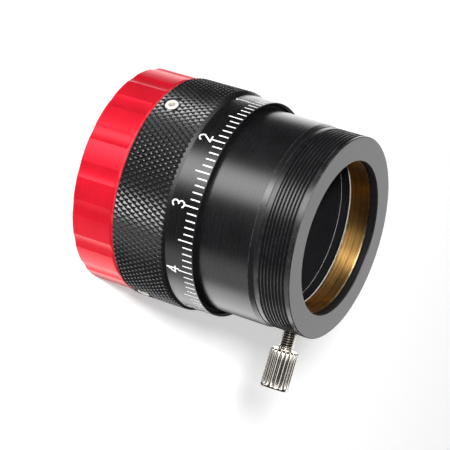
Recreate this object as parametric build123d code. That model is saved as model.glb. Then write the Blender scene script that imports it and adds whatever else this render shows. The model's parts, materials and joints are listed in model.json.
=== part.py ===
"""Helical focuser for 1.25 inch eyepieces, built as it comes apart on a bench.

Frame: the origin is the centre of the telescope-side seating face, +Z runs along the optical
axis towards the eyepiece, and +X points at the thumbscrew.  All lengths are in millimetres.
The model stands at FOCUS_READING on its own scale.
"""
from build123d import *
import math
import os

# ---------------------------------------------------------------- driving dimensions
LENGTH = 49.1               # seating face to eyepiece face at the modelled focus reading
FOCUS_READING = 9.0         # extension of the drawtube from its retracted stop
EYEPIECE_BORE_R = 15.93     # slides over a 31.75 mm barrel
T2_MINOR_R = 20.6           # female M42 x 0.75, plain wall at the minor diameter
T2_MAJOR_R = 20.95          # male M42 x 0.75, plain wall at the major diameter
FIT = 0.05                  # radial clearance of every running and sliding fit
SEAM_ANGLE = 142            # where the turned surfaces close on themselves

# rear end: mount base, guide sleeve, grip ring
BASE_R = 21.85
THREAD_DEPTH = 3.3
SOCKET_RELIEF_R = 21.05
WEB_BACK_Z = 3.8
WEB_FRONT_Z = 4.9
GUIDE_IN_R = 16.2
GUIDE_OUT_R = 17.2
GUIDE_FRONT_Z = 21.0
SLOT_BACK_Z = 5.3
SLOT_WIDTH = 1.9
SLOT_ANGLES = (60, 180, 300)
STOP_BACK_Z = 17.0
STOP_THICKNESS = 0.7
STOP_IN_R = 16.78
STOP_GAP = 3.0

GRIP_R = 23.06
GRIP_FRONT_Z = 9.65
GRIP_ROUND_Z = 8.9
GRIP_FRONT_R = 22.6
LIP_BACK_Z = 8.75
LIP_R = 21.0
FLUTES = 18
FLUTE_PHASE = 12
FLUTE_DEPTH = 0.3
FLUTE_WIDTH = 3.4
FLUTE_END_Z = 9.3

# turning pieces: helicoid ring, washers, focus sleeve and its grub screws
HELICOID_R = 19.45
HELICOID_BODY_R = 20.9
HELICOID_FLANGE_R = 21.7
HELICOID_FRONT_Z = 17.0
WASHER_THICKNESS = 0.25
WAVE_THICKNESS = 0.4
FLANGE_BACK_Z = WEB_FRONT_Z + WASHER_THICKNESS
FLANGE_FRONT_Z = 8.1
WASHER_IN_R = 19.7
FRONT_WASHER_IN_R = 20.95

SLEEVE_BACK_Z = 9.95
KNURL_R = 23.4
KNURL_FRONT_Z = 21.4
BAND_BACK_Z = 22.07
BAND_BACK_R = 22.72
BAND_FRONT_R = 22.66
BAND_FRONT_Z = 28.35
MOUTH_R = 22.05
MOUTH_BEVEL = 0.5
MOUTH_BACK_Z = 27.2
EDGE = 0.25

GRUB_R = 1.5
GRUB_Z = 12.86
GRUB_TOP_R = 23.3
GRUB_ANGLES = (-135, -15, 105)
HEX_ACROSS_FLATS = 1.5
HEX_DEPTH = 1.2

# sliding pieces: drawtube, guide pins, eyepiece holder, compression ring
TUBE_R = 21.23
SKIRT_BACK_Z = 5.1 + FOCUS_READING
SHOULDER_Z = 17.3 + FOCUS_READING
SKIRT_FRONT_Z = 22.0 + FOCUS_READING
TUBE_WEB_R = 16.2
TUBE_WEB_FRONT_Z = 33.0
CONE_BACK_Z = 40.0
CONE_FRONT_Z = 41.1
PIN_R = 0.9
PIN_Z = 6.4 + FOCUS_READING
PIN_TIP_R = 16.45
PIN_HEAD_R = 19.3

SPIGOT_R = 19.0
NECK_R = 20.85
THREAD_BACK_Z = 42.17
RIM_CHAMFER = 0.12
BORE_CHAMFER = 0.15
RING_BACK_Z = 42.75
RING_FRONT_Z = 47.45
RING_GROOVE_R = 16.6
RING_IN_R = 15.9
RING_OUT_R = 16.5
RING_CHAMFER = 0.2
RING_GAP = 1.5
RING_GAP_ANGLE = -120
FINE_GROOVES_Z = (40.4, 42.1)
FINE_GROOVE_DEPTH = 0.15
FINE_GROOVE_WIDTH = 0.25

# thumbscrew
SCREW_Z = 44.2
SCREW_R = 1.5
POINT_R = 1.1
POINT_TIP_R = 16.72
POINT_LENGTH = 1.3
COLLAR_R = 1.45
COLLAR_START_R = 23.95
HEAD_START_R = 24.75
HEAD_END_R = 32.85
HEAD_R = 2.9
HEAD_CHAMFER = 0.3
HEAD_RIDGES = 18
HEAD_GROOVE_R = 0.34
HEAD_RIM = 0.5


# ---------------------------------------------------------------- helpers
def turned(*corners):
    """Solid of revolution about Z from its (radius, z) corners, its seam clear of all cuts."""
    outline = Polyline(*[(radius, 0, z) for radius, z in corners], close=True)
    return Rot(0, 0, SEAM_ANGLE) * revolve(make_face(outline), Axis.Z, 360)


def tube(inner, outer, back, front):
    """Plain ring between two radii and two heights."""
    return turned((inner, back), (outer, back), (outer, front), (inner, front))


def radial(solid, start_r, z, angle=0):
    """Lays a solid built along +Z from the origin onto a radius of the optical axis."""
    return Rot(0, 0, angle) * Pos(start_r, 0, z) * Rot(0, 90, 0) * solid


def rod(radius, length):
    """Cylinder standing on the origin along +Z."""
    return Cylinder(radius, length, align=(Align.CENTER, Align.CENTER, Align.MIN))


def gap_block(width, inner, outer, back, front, angle):
    """Box that cuts one radial slot through a ring."""
    low = (Align.MIN, Align.CENTER, Align.MIN)
    return Rot(0, 0, angle) * Pos(inner, 0, back) * Box(outer - inner, width, front - back, align=low)


# ---------------------------------------------------------------- fixed to the telescope
def mount_base():
    """Black rear body: female T2 socket and the web that carries the guide sleeve."""
    return turned(
        (T2_MINOR_R, 0),
        (BASE_R, 0),
        (BASE_R, WEB_FRONT_Z),
        (GUIDE_OUT_R, WEB_FRONT_Z),
        (GUIDE_OUT_R, WEB_BACK_Z),
        (SOCKET_RELIEF_R, WEB_BACK_Z),
        (SOCKET_RELIEF_R, THREAD_DEPTH),
        (T2_MINOR_R, THREAD_DEPTH),
    )


def guide_sleeve():
    """Fixed inner sleeve with three keyways that stop the drawtube from turning."""
    sleeve = tube(GUIDE_IN_R, GUIDE_OUT_R, WEB_BACK_Z, GUIDE_FRONT_Z)
    for angle in SLOT_ANGLES:
        front = GUIDE_FRONT_Z + 1
        sleeve -= gap_block(SLOT_WIDTH, GUIDE_IN_R - 1, GUIDE_OUT_R + 1, SLOT_BACK_Z, front, angle)
    groove_front = STOP_BACK_Z + STOP_THICKNESS
    sleeve -= tube(STOP_IN_R, GUIDE_OUT_R + 1, STOP_BACK_Z, groove_front)
    return sleeve


def slot_stop_ring():
    """Snap ring across the keyways: the outer stop of the guide pins."""
    ring = tube(STOP_IN_R, GUIDE_OUT_R - FIT, STOP_BACK_Z, STOP_BACK_Z + STOP_THICKNESS)
    ring -= gap_block(STOP_GAP, STOP_IN_R - 1, GUIDE_OUT_R + 1, STOP_BACK_Z - 1, STOP_BACK_Z + 2, 30)
    return ring


def flute_cutter(angle):
    """Rounded cutter for one shallow flute, closed by a soft run-out at its front end."""
    half = FLUTE_WIDTH / 2
    sagitta = FLUTE_DEPTH - (GRIP_R - math.sqrt(GRIP_R**2 - half**2))
    radius = (half**2 + sagitta**2) / (2 * sagitta)
    cutter = fillet(rod(radius, FLUTE_END_Z + 1).edges().group_by(Axis.Z)[-1], EDGE * 1.4)
    return Rot(0, 0, angle) * Pos(GRIP_R - FLUTE_DEPTH + radius, 0, -1) * cutter


def grip_ring():
    """Red fluted ring screwed over the base; its front lip keeps the helicoid ring in."""
    ring = turned(
        (BASE_R, 0),
        (GRIP_R - EDGE, 0),
        (GRIP_R, EDGE),
        (GRIP_R, GRIP_ROUND_Z),
        ((GRIP_R + GRIP_FRONT_R) / 2 + 0.1, (GRIP_ROUND_Z + GRIP_FRONT_Z) / 2),
        (GRIP_FRONT_R, GRIP_FRONT_Z),
        (LIP_R, GRIP_FRONT_Z),
        (LIP_R, LIP_BACK_Z),
        (BASE_R, LIP_BACK_Z),
    )
    for index in range(FLUTES):
        ring -= flute_cutter(FLUTE_PHASE + index * 360 / FLUTES)
    return ring


# ---------------------------------------------------------------- turning with the focus sleeve
def rear_slip_washer():
    """Low-friction washer between the base and the helicoid ring."""
    return tube(WASHER_IN_R, HELICOID_FLANGE_R - FIT, WEB_FRONT_Z, FLANGE_BACK_Z)


def wave_washer():
    """Preload washer in front of the flange."""
    front = FLANGE_FRONT_Z + WAVE_THICKNESS
    return tube(FRONT_WASHER_IN_R, HELICOID_FLANGE_R, FLANGE_FRONT_Z, front)


def front_slip_washer():
    """Low-friction washer behind the lip of the grip ring."""
    return tube(FRONT_WASHER_IN_R, HELICOID_FLANGE_R, LIP_BACK_Z - WASHER_THICKNESS, LIP_BACK_Z)


def helicoid_ring():
    """Internal multi-start helicoid that drives the drawtube, plain at the mean diameter."""
    return turned(
        (HELICOID_R, FLANGE_BACK_Z),
        (HELICOID_FLANGE_R, FLANGE_BACK_Z),
        (HELICOID_FLANGE_R, FLANGE_FRONT_Z),
        (HELICOID_BODY_R, FLANGE_FRONT_Z),
        (HELICOID_BODY_R, HELICOID_FRONT_Z),
        (HELICOID_R, HELICOID_FRONT_Z),
    )


def focus_sleeve():
    """Knurled grip and scale band in one piece, clamped on the helicoid ring."""
    guide_r = TUBE_R + FIT
    sleeve = turned(
        (HELICOID_BODY_R, SLEEVE_BACK_Z),
        (KNURL_R - EDGE, SLEEVE_BACK_Z),
        (KNURL_R, SLEEVE_BACK_Z + EDGE),
        (KNURL_R, KNURL_FRONT_Z),
        (BAND_BACK_R, BAND_BACK_Z),
        (BAND_FRONT_R, BAND_FRONT_Z - EDGE / 4),
        (BAND_FRONT_R - EDGE / 4, BAND_FRONT_Z),
        (MOUTH_R + MOUTH_BEVEL, BAND_FRONT_Z),
        (MOUTH_R, BAND_FRONT_Z - MOUTH_BEVEL),
        (MOUTH_R, MOUTH_BACK_Z),
        (guide_r, MOUTH_BACK_Z),
        (guide_r, HELICOID_FRONT_Z),
        (HELICOID_BODY_R, HELICOID_FRONT_Z),
    )
    for angle in GRUB_ANGLES:
        sleeve -= radial(rod(GRUB_R, KNURL_R), HELICOID_R, GRUB_Z, angle)
    return sleeve


def grub_screw():
    """Flush hex-socket set screw standing on the origin."""
    length = GRUB_TOP_R - HELICOID_BODY_R
    screw = chamfer(rod(GRUB_R, length).edges().group_by(Axis.Z)[-1], EDGE)
    socket = extrude(RegularPolygon(HEX_ACROSS_FLATS / 2, 6, major_radius=False), HEX_DEPTH)
    return screw - Pos(0, 0, length - HEX_DEPTH) * socket


def sleeve_grub_screws():
    """Three set screws that lock the focus sleeve to the helicoid ring."""
    screw = grub_screw()
    return Compound([radial(screw, HELICOID_BODY_R, GRUB_Z, angle) for angle in GRUB_ANGLES])


# ---------------------------------------------------------------- sliding with the drawtube
def drawtube():
    """Sliding tube: helicoid skirt at the rear, smooth barrel, socket for the holder."""
    body = turned(
        (GUIDE_OUT_R + FIT, SKIRT_BACK_Z),
        (HELICOID_R - FIT, SKIRT_BACK_Z),
        (HELICOID_R - FIT, SHOULDER_Z),
        (TUBE_R - EDGE, SHOULDER_Z),
        (TUBE_R, SHOULDER_Z + EDGE),
        (TUBE_R, CONE_BACK_Z),
        (T2_MAJOR_R, CONE_FRONT_Z),
        (SPIGOT_R, CONE_FRONT_Z),
        (SPIGOT_R, TUBE_WEB_FRONT_Z),
        (TUBE_WEB_R, TUBE_WEB_FRONT_Z),
        (TUBE_WEB_R, SKIRT_FRONT_Z),
        (GUIDE_OUT_R + FIT, SKIRT_FRONT_Z),
    )
    for angle in SLOT_ANGLES:
        body -= radial(rod(PIN_R, 3 * PIN_R), GUIDE_OUT_R - FIT, PIN_Z, angle)
    return body


def guide_pins():
    """Three dowels pressed in the skirt; their tips run in the keyways."""
    pin = rod(PIN_R, PIN_HEAD_R - PIN_TIP_R)
    return Compound([radial(pin, PIN_TIP_R, PIN_Z, angle) for angle in SLOT_ANGLES])


def eyepiece_holder():
    """Front piece: 1.25 inch bore, compression ring groove and male T2 thread."""
    holder = turned(
        (EYEPIECE_BORE_R, TUBE_WEB_FRONT_Z),
        (SPIGOT_R, TUBE_WEB_FRONT_Z),
        (SPIGOT_R, CONE_FRONT_Z),
        (NECK_R, CONE_FRONT_Z),
        (NECK_R, THREAD_BACK_Z),
        (T2_MAJOR_R, THREAD_BACK_Z),
        (T2_MAJOR_R, LENGTH - RIM_CHAMFER),
        (T2_MAJOR_R - RIM_CHAMFER, LENGTH),
        (EYEPIECE_BORE_R + BORE_CHAMFER, LENGTH),
        (EYEPIECE_BORE_R, LENGTH - BORE_CHAMFER),
    )
    holder -= tube(EYEPIECE_BORE_R - 1, RING_GROOVE_R, RING_BACK_Z, RING_FRONT_Z)
    fine_r = EYEPIECE_BORE_R + FINE_GROOVE_DEPTH
    for z in FINE_GROOVES_Z:
        holder -= tube(EYEPIECE_BORE_R - 1, fine_r, z, z + FINE_GROOVE_WIDTH)
    return holder - radial(rod(SCREW_R + FIT / 2, LENGTH), EYEPIECE_BORE_R, SCREW_Z)


def compression_ring():
    """Split brass ring that the thumbscrew presses on the eyepiece barrel."""
    back = RING_BACK_Z + FIT
    front = RING_FRONT_Z - FIT
    ring = turned(
        (RING_IN_R + RING_CHAMFER, back),
        (RING_OUT_R, back),
        (RING_OUT_R, front),
        (RING_IN_R + RING_CHAMFER, front),
        (RING_IN_R, front - RING_CHAMFER),
        (RING_IN_R, back + RING_CHAMFER),
    )
    return ring - gap_block(RING_GAP, RING_IN_R - 1, RING_OUT_R + 1, back - 1, front + 1, RING_GAP_ANGLE)


# ---------------------------------------------------------------- thumbscrew
def thumbscrew_point():
    """Plain nose of the screw, which presses on the compression ring."""
    nose = chamfer(rod(POINT_R, POINT_LENGTH).edges().group_by(Axis.Z)[0], EDGE)
    return radial(nose, POINT_TIP_R, SCREW_Z)


def thumbscrew_stud():
    """M3 stud, plain at the major diameter, with the collar under the head."""
    start = POINT_TIP_R + POINT_LENGTH
    stud = rod(SCREW_R, COLLAR_START_R - start)
    collar = Pos(0, 0, COLLAR_START_R - start) * rod(COLLAR_R, HEAD_START_R - COLLAR_START_R)
    return radial(stud + collar, start, SCREW_Z)


def thumbscrew_head():
    """Ridged nickel-plated head with a plain outer rim."""
    length = HEAD_END_R - HEAD_START_R
    head = chamfer(rod(HEAD_R, length).edges().group_by(Axis.Z)[-1], HEAD_CHAMFER)
    groove = rod(HEAD_GROOVE_R, length - HEAD_RIM)
    for index in range(HEAD_RIDGES):
        head -= Rot(0, 0, index * 360 / HEAD_RIDGES) * Pos(HEAD_R + HEAD_GROOVE_R / 2, 0, 0) * groove
    return radial(head, HEAD_START_R, SCREW_Z)


# ---------------------------------------------------------------- one file for each node
NODES = (
    mount_base,
    guide_sleeve,
    slot_stop_ring,
    grip_ring,
    rear_slip_washer,
    wave_washer,
    front_slip_washer,
    helicoid_ring,
    focus_sleeve,
    sleeve_grub_screws,
    drawtube,
    guide_pins,
    eyepiece_holder,
    compression_ring,
    thumbscrew_point,
    thumbscrew_stud,
    thumbscrew_head,
)

os.makedirs("parts", exist_ok=True)
for make in NODES:
    export_step(make(), f"parts/{make.__name__}.step")
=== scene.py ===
import json
import math
from functools import partial

import bmesh
import bpy
import numpy as np
from bpy.props import FloatProperty, FloatVectorProperty, IntProperty, PointerProperty
from mathutils import Matrix, Vector


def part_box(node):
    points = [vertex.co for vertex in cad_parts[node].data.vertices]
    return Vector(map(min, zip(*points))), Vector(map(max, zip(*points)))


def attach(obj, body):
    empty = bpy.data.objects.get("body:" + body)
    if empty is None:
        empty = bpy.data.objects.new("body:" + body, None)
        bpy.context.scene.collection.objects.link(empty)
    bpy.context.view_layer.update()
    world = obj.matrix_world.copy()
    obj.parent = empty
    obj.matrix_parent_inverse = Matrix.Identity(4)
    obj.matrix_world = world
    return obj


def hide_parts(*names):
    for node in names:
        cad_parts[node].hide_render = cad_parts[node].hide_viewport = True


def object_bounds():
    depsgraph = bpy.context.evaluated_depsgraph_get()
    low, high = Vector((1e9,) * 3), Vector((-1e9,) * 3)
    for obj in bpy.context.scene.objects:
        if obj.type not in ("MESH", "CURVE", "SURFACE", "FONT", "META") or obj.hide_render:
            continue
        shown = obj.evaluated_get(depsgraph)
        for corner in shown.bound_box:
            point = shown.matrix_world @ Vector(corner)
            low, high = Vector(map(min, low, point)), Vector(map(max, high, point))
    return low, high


bl_info = {
    "name": "Helical focuser looks",
    "version": (1, 0, 0),
    "blender": (4, 5, 0),
    "location": "3D View > Sidebar > Focuser",
    "description": "Finished pieces of a 1.25 inch helical focuser on its CAD frame",
    "category": "Object",
}

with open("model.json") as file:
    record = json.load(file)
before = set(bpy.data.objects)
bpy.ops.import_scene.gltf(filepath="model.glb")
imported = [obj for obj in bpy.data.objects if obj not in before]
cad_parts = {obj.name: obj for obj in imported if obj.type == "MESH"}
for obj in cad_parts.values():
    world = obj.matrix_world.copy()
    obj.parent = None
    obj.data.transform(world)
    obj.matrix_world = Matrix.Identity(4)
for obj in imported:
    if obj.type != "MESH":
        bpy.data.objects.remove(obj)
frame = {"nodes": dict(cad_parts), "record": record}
CAD_BOX = [list(corner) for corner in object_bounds()]
MM = 0.001
SEGMENTS = 240
# Grey of the painted highlight lines inside the bore.
BORE_LINE_HIGHLIGHT = (0.5, 0.5, 0.5)
# Set screw's angle from the thumbscrew, in degrees.
FIRST_SCREW = -15
# Floor under the part and welding distance of the threads, in metres.
FLOOR_GAP = 0.00002
THREAD_WELD = 0.0000004
# Half height of a painted highlight line in the bore, height of the paint and radius of the M3 holes, in
# millimetres.
HIGHLIGHT_LINE_REACH = 0.06
INLAY = 0.012
SCREW_HOLE = 1.52
MOUNTS = {mount["name"]: mount["dims"] for mount in frame["record"]["mounts"]}


# ------------------------------------------------------------------ sizes and colours
def length(name, text, default):
    """One size in metres."""
    return FloatProperty(name=name, description=text, default=default, unit="LENGTH", precision=6)


def angle(name, text, degrees):
    """One angle in radians."""
    return FloatProperty(name=name, description=text, default=math.radians(degrees), unit="ROTATION")


def colour(name, text, default):
    """One linear colour."""
    return FloatVectorProperty(name=name, description=text, default=default, subtype="COLOR", min=0, max=1)


def amount(name, text, default):
    """One plain number."""
    return FloatProperty(name=name, description=text, default=default)


def count(name, text, default):
    """One whole number."""
    return IntProperty(name=name, description=text, default=default, min=1)


class FinishSettings(bpy.types.PropertyGroup):
    """Colours of the finishes."""

    black: colour("Black anodise", "Dyed oxide on the turned parts", (0.0055, 0.0055, 0.0062))
    red: colour("Red anodise", "Dyed oxide on the grip ring", (0.66, 0.008, 0.024))
    aluminium: colour("Bare aluminium", "Cut metal without dye", (0.62, 0.62, 0.63))
    brass: colour("Brass", "Compression ring", (0.74, 0.42, 0.13))
    # Painted shade: this nickel colour is darkened to stand for the shade in the thumbscrew's hollows.
    nickel: colour("Nickel", "Plating in the hollows of the thumbscrew", (0.10, 0.09, 0.08))
    steel: colour("Steel", "Pins, set screws and spring parts", (0.72, 0.70, 0.66))
    polymer: colour("Slip washer", "Low-friction washers", (0.85, 0.84, 0.80))
    paint: colour("Engraving paint", "Fill of the scale", (0.74, 0.74, 0.73))


class GripSettings(bpy.types.PropertyGroup):
    """Fluted grip ring and knurled sleeve."""

    flutes: count("Flutes", "Shallow flutes round the grip ring", 18)
    flute_phase: angle("Flute phase", "Angle of the first flute from the thumbscrew", 12)
    flute_width: length("Flute width", "Width of one flute at the ring's surface", 0.0034)
    flute_depth: length("Flute depth", "Depth of one flute", 0.0003)
    knurl_count: count("Knurl grooves", "Grooves each way round the sleeve", 125)
    knurl_angle: angle("Knurl angle", "Groove angle from the axis", 31.15)
    knurl_depth: length("Knurl depth", "Groove depth", 0.00024)
    knurl_flat: amount("Knurl flat", "Width of a diamond's top as a share of its base", 0.26)


class ScaleSettings(bpy.types.PropertyGroup):
    """Engraved focus scale."""

    zero_angle: angle("Zero angle", "Angle of numeral 0 from the thumbscrew", -193.9)
    mark_width: length("Mark width", "Width of a graduation", 0.00027)
    stroke: length("Numeral stroke", "Line width of the numerals", 0.00031)
    numeral_height: length("Numeral height", "Height over the strokes", 0.00295)
    numeral_width: length("Numeral width", "Width over the strokes", 0.00158)
    numeral_back: length("Numeral back", "Height of the numerals' far edge over the seat", 0.02222)
    mark_front: length("Mark front", "Height of the graduations' front ends", 0.02818)
    short_mark: length("Short mark", "Length of a tenth graduation", 0.00219)
    long_mark: length("Long mark", "Length of a fifth graduation", 0.00326)
    index_angle: angle("Index angle", "Angle of the index line on the drawtube", 130.1)


class ThreadSettings(bpy.types.PropertyGroup):
    """Threads and bore details."""

    pitch: length("Accessory pitch", "Pitch of the M42 threads", 0.00075)
    depth: length("Accessory thread depth", "Height of the M42 threads", 0.00044)
    screw_pitch: length("Screw pitch", "Pitch of the M3 thumbscrew", 0.0005)
    screw_depth: length("Screw thread depth", "Height of the M3 thread", 0.0003)
    ridges: count("Head ridges", "Ridges round the thumbscrew's head", 18)
    ridge_depth: length("Ridge depth", "Depth between two ridges", 0.0003)


class StageSettings(bpy.types.PropertyGroup):
    """Floor, light and camera."""

    azimuth: angle("Azimuth", "Camera azimuth", -3.68)
    elevation: angle("Elevation", "Camera height over the horizon", 26.2)
    roll: angle("Roll", "Turn of the camera about its own axis", 107.6)
    distance: length("Distance", "Camera to aim point", 0.385)
    lens: amount("Lens", "Focal length in millimetres on a 36 mm sensor", 149.9)
    aim: FloatVectorProperty(
        name="Aim", description="Aim point from the box centre", default=(-0.0003, 0, -0.00103),
        subtype="TRANSLATION",
    )
    floor: colour("Floor", "Pale floor", (0.86, 0.86, 0.86))
    glow: amount("Floor glow", "Light that the floor gives off by itself", 0.32)
    key: amount("Key light", "Power of the small key light in watts", 14.5)
    dome: amount("Dome light", "Power of the wide overhead light in watts", 11.0)
    ambient: amount("Ambient", "Even light from all around", 0.02)


GROUPS = {
    "focuser_finish": FinishSettings,
    "focuser_grip": GripSettings,
    "focuser_scale": ScaleSettings,
    "focuser_thread": ThreadSettings,
    "focuser_stage": StageSettings,
}


# ------------------------------------------------------------------ shapes, in millimetres
def extent(node):
    """Lowest and highest corner of a CAD node in millimetres."""
    low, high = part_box(node)
    return low / MM, high / MM


def eased(corners, ease=0.12, steps=3):
    """Closed outline of (radius, z) corners with its outer corners rounded, and their wear.
    A third number in a corner is its own rounding."""
    total = len(corners)
    flat = np.array([corner[:2] for corner in corners], float)
    after = np.roll(flat, -1, axis=0)
    area = np.sum(flat[:, 0] * after[:, 1] - after[:, 0] * flat[:, 1])
    points, wear = [], []
    for index, corner in enumerate(corners):
        here = flat[index]
        back = flat[index - 1] - here
        ahead = flat[(index + 1) % total] - here
        back_room, ahead_room = np.linalg.norm(back), np.linalg.norm(ahead)
        back, ahead = back / back_room, ahead / ahead_room
        turn = (back[1] * ahead[0] - back[0] * ahead[1]) * area
        own = corner[2] if len(corner) > 2 else ease
        reach = min(own, 0.4 * back_room, 0.4 * ahead_room)
        if turn <= 0 or reach < 0.01:
            points.append(here)
            wear.append(0)
            continue
        guard = min(0.03, 0.2 * reach)
        points.append(here + back * (reach + guard))
        wear.append(0)
        for step in range(steps + 1):
            t = step / steps
            bend = (1 - t) ** 2 * back * reach + t**2 * ahead * reach
            points.append(here + bend)
            wear.append(1)
        points.append(here + ahead * (reach + guard))
        wear.append(0)
    return np.array(points), np.array(wear, float)


def round_z(radius, theta, z):
    """Points at these radii, angles and heights."""
    return np.stack([radius * np.cos(theta), radius * np.sin(theta), z], -1)


def polar(points):
    """Radius and angle of each point."""
    return np.hypot(points[:, 0], points[:, 1]), np.arctan2(points[:, 1], points[:, 0])


def swept(outline_at, wear, angles, full=True, closed=True):
    """Sweeps an outline round Z; outline_at(angle) gives its (radius, z) points there."""
    rings = []
    for theta in angles:
        outline = outline_at(theta)
        radius, z = outline.T
        rings.append(np.column_stack([radius * math.cos(theta), radius * math.sin(theta), z]))
    size, turns = len(rings[0]), len(rings)
    columns = np.arange(turns if full else turns - 1)[:, None] * size
    nexts = (columns + size) % (turns * size)
    rows = np.arange(size if closed else size - 1)[None, :]
    above = (rows + 1) % size
    faces = np.stack([columns + rows, nexts + rows, nexts + above, columns + above], -1)
    return np.concatenate(rings), faces.reshape(-1, 4).tolist(), np.tile(wear, turns)


def turned(corners, ease=0.12, segments=SEGMENTS, closed=True):
    """Full ring from its outline; an open one keeps only what runs from its first corner to its last."""
    points, wear = eased(corners, ease)
    if not closed:
        first, last = (np.array(corners[end][:2], float) for end in (0, -1))
        start = int(np.argmin(np.linalg.norm(points - first, axis=1)))
        points, wear = np.roll(points, -start, axis=0), np.roll(wear, -start)
        stop = int(np.argmin(np.linalg.norm(points - last, axis=1)))
        points, wear = np.vstack([first, points[1 : stop + 1]]), np.append(0, wear[1 : stop + 1])
        points[-1] = last
    angles = np.arange(segments) * math.tau / segments
    return swept(lambda theta: points, wear, angles, closed=closed)


def joined(*shapes):
    """Several shapes as one."""
    points, faces, wear, base = [], [], [], 0
    for some_points, some_faces, some_wear in shapes:
        points.append(some_points)
        wear.append(some_wear)
        faces += [[base + index for index in face] for face in some_faces]
        base += len(some_points)
    return np.concatenate(points), faces, np.concatenate(wear)


def on_screw_axis(shape, start, height):
    """Lays a shape built along +Z onto the radius that points along +X."""
    points, faces, wear = shape
    return np.stack([points[:, 2] + start, points[:, 1], height - points[:, 0]], -1), faces, wear


def as_mesh(shape, weld=0.0005):
    """Blender mesh in metres, welded, facing outwards, with its attribute of wear and painted light."""
    points, faces, wear = shape
    mesh = bpy.data.meshes.new("shape")
    mesh.from_pydata((points * MM).tolist(), [], faces)
    mesh.attributes.new("wear", "FLOAT", "POINT").data.foreach_set("value", wear.astype(np.float32))
    work = bmesh.new()
    work.from_mesh(mesh)
    if weld:
        bmesh.ops.remove_doubles(work, verts=work.verts, dist=weld * MM)
        bmesh.ops.dissolve_degenerate(work, dist=weld * MM * 0.2, edges=work.edges)
    bmesh.ops.recalc_face_normals(work, faces=work.faces)
    work.to_mesh(mesh)
    work.free()
    return mesh


def coordinates(mesh):
    """Places of a mesh's vertices in millimetres."""
    points = np.empty(len(mesh.vertices) * 3)
    mesh.vertices.foreach_get("co", points)
    return points.reshape(-1, 3) / MM


def as_shape(mesh):
    """Points, faces and the values of wear and painted light of a Blender mesh."""
    wear = np.zeros(len(mesh.vertices), np.float32)
    if "wear" in mesh.attributes:
        mesh.attributes["wear"].data.foreach_get("value", wear)
    return coordinates(mesh), [list(polygon.vertices) for polygon in mesh.polygons], wear.astype(float)


def in_scene(name, data):
    """New object in the scene."""
    thing = bpy.data.objects.new(name, data)
    bpy.context.scene.collection.objects.link(thing)
    return thing


def evaluated(thing):
    """Mesh of an object after its modifiers."""
    graph = bpy.context.evaluated_depsgraph_get()
    return bpy.data.meshes.new_from_object(thing.evaluated_get(graph))


def bored(mesh, drills):
    """Mesh after each drill, a closed shape, is cut from it."""
    body = in_scene("bored", mesh)
    cutter = in_scene("drill", as_mesh(joined(*drills)))
    cut = body.modifiers.new("cut", "BOOLEAN")
    cut.operation = "DIFFERENCE"
    cut.object = cutter
    cut.solver = "EXACT"
    result = evaluated(body)
    for item in (body, cutter):
        bpy.data.objects.remove(item)
    return result


def shade_matted(mesh, within, below=math.inf):
    """Paints shade on the surfaces inside a radius and under a height by making them matt and nearly
    unreflective, by wear below nothing.
    """
    points = coordinates(mesh)
    data = mesh.attributes["wear"].data
    wear = np.empty(len(data))
    data.foreach_get("value", wear)
    wear[(polar(points)[0] < within) & (points[:, 2] < below)] = -1
    data.foreach_set("value", wear)


def painted_highlight_line(mesh, within, height):
    """Paints a grey highlight line along one inner edge, by wear of two."""
    for vertex, mark in zip(mesh.vertices, mesh.attributes["wear"].data):
        x, y, z = vertex.co / MM
        if abs(z - height) < HIGHLIGHT_LINE_REACH and x * x + y * y < within**2:
            mark.value = 2


def crest_highlight_root_shade(shape, root, crest):
    """Shape whose wear grows from the root radius to the crest radius, painting shade in the roots and a
    highlight on the crests; its flat ends are crests too.
    """
    points, faces, _ = shape
    radius, _ = polar(points)
    wear = np.clip((radius - root) / (crest - root), 0, 1)
    wear[radius < root - 0.05] = 1
    return points, faces, wear


def piece(name, mesh, body, slot, nodes=(), crease=30, finish=None):
    """Finished object on its body, standing for its CAD nodes."""
    mesh.name = name
    mesh.materials.clear()
    mesh.materials.append(FINISHES[finish or slot])
    mesh.polygons.foreach_set("use_smooth", [True] * len(mesh.polygons))
    mesh.set_sharp_from_angle(angle=math.radians(crease))
    thing = in_scene(name, mesh)
    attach(thing, body)
    if nodes:
        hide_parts(*nodes)


# ------------------------------------------------------------------ geometry node trees
def new_tree(name, inputs):
    """Empty geometry tree with its named inputs, the group input and output nodes."""
    tree = bpy.data.node_groups.new(name, "GeometryNodeTree")
    tree.is_modifier = True
    tree.interface.new_socket("Geometry", in_out="INPUT", socket_type="NodeSocketGeometry")
    for label, kind in inputs:
        tree.interface.new_socket(label, in_out="INPUT", socket_type="NodeSocket" + kind)
    tree.interface.new_socket("Geometry", in_out="OUTPUT", socket_type="NodeSocketGeometry")
    return tree, tree.nodes.new("NodeGroupInput"), tree.nodes.new("NodeGroupOutput")


def plug(tree, source, socket):
    """Links a source to a socket, or sets the socket to a plain value."""
    if isinstance(source, bpy.types.NodeSocket):
        tree.links.new(source, socket)
    else:
        socket.default_value = source


def wire(tree, kind, *sources, named=None, **settings):
    """Adds a node, with sources for its first inputs and for named ones."""
    node = tree.nodes.new(kind)
    for key, value in settings.items():
        setattr(node, key, value)
    for index, source in (*enumerate(sources), *(named or {}).items()):
        plug(tree, source, node.inputs[index])
    return node


def reckon(tree, operation, *sources, clamp=False):
    """Result socket of one math node."""
    return wire(tree, "ShaderNodeMath", *sources, operation=operation, use_clamp=clamp).outputs[0]


def close_tree(tree, geometry, distance, material, result):
    """Ends a tree in Merge by Distance, Realize Instances and Set Material."""
    weld = wire(tree, "GeometryNodeMergeByDistance", named={"Geometry": geometry, "Distance": distance})
    real = wire(tree, "GeometryNodeRealizeInstances", weld.outputs[0])
    coat = wire(tree, "GeometryNodeSetMaterial", real.outputs[0], named={"Material": material})
    plug(tree, coat.outputs[0], result.inputs[0])
    return tree


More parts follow.
